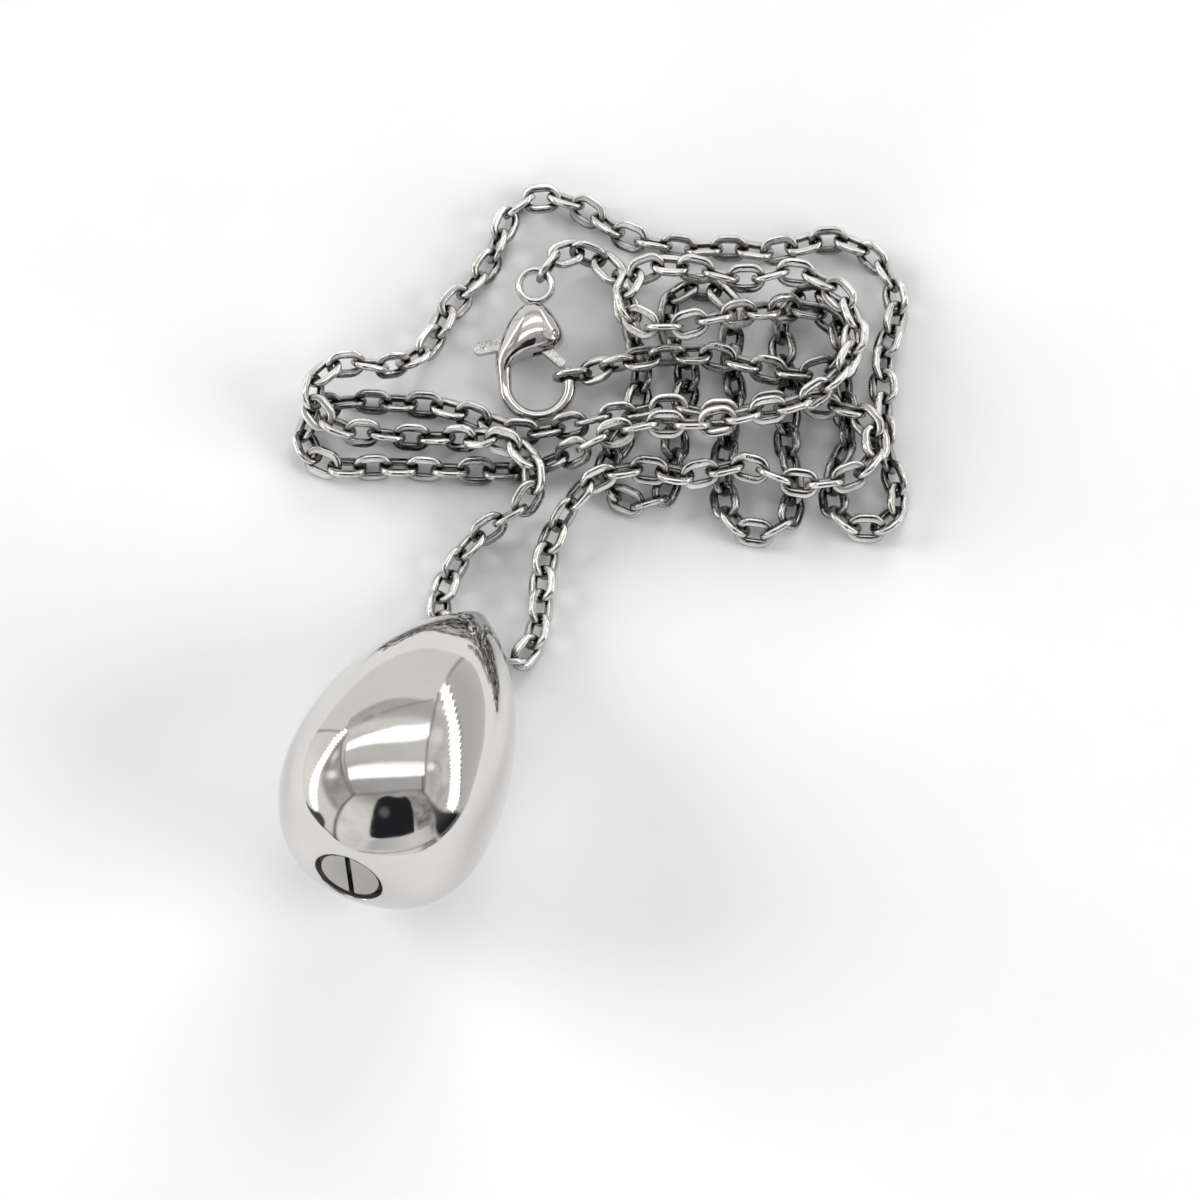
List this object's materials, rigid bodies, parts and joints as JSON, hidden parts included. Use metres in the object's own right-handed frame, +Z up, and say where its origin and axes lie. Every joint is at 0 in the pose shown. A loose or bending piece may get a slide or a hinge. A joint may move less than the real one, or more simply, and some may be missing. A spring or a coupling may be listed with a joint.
{
  "type": "keepsake urn pendant",
  "caption": "Hollow teardrop keepsake pendant with a slotted fill screw in its fat end, on a loose cable chain with a lobster clasp, lying on a table.",
  "frame": {"origin": "middle of the box round the whole lying object, on the table", "axes": "+Z up from the table, +Y along the pendant from its fat end towards its tip and the heap of chain"},
  "size_m": [0.0494, 0.072, 0.0171],
  "materials": {
    "steel": "mirror-polished stainless steel",
    "chain_steel": "polished stainless steel with flat ground faces",
    "pin_steel": "satin"
  },
  "bodies": {
    "pendant_and_chain": {"pendant": "steel", "chain": "chain_steel", "clasp_body": "steel", "clasp_pin": "pin_steel"},
    "fill_screw": {"fill_screw": "steel"},
    "clasp_lever": {"clasp_lever": "steel"}
  },
  "joints": [
    {"name": "fill_screw_out", "type": "slide", "parent": "pendant_and_chain", "child": "fill_screw", "axis": [0, -0.9833, 0.1822], "range_m": [0, 0.008]},
    {"name": "clasp_lever_hinge", "type": "hinge", "parent": "pendant_and_chain", "child": "clasp_lever", "pos_m": [-0.00905, 0.01676, 0.00163], "axis": [0.0618, -0.153, 0.9863], "range_deg": [-30, 0], "stiffness_Nm_per_rad": 0.004, "springref_deg": 14.32}
  ]
}
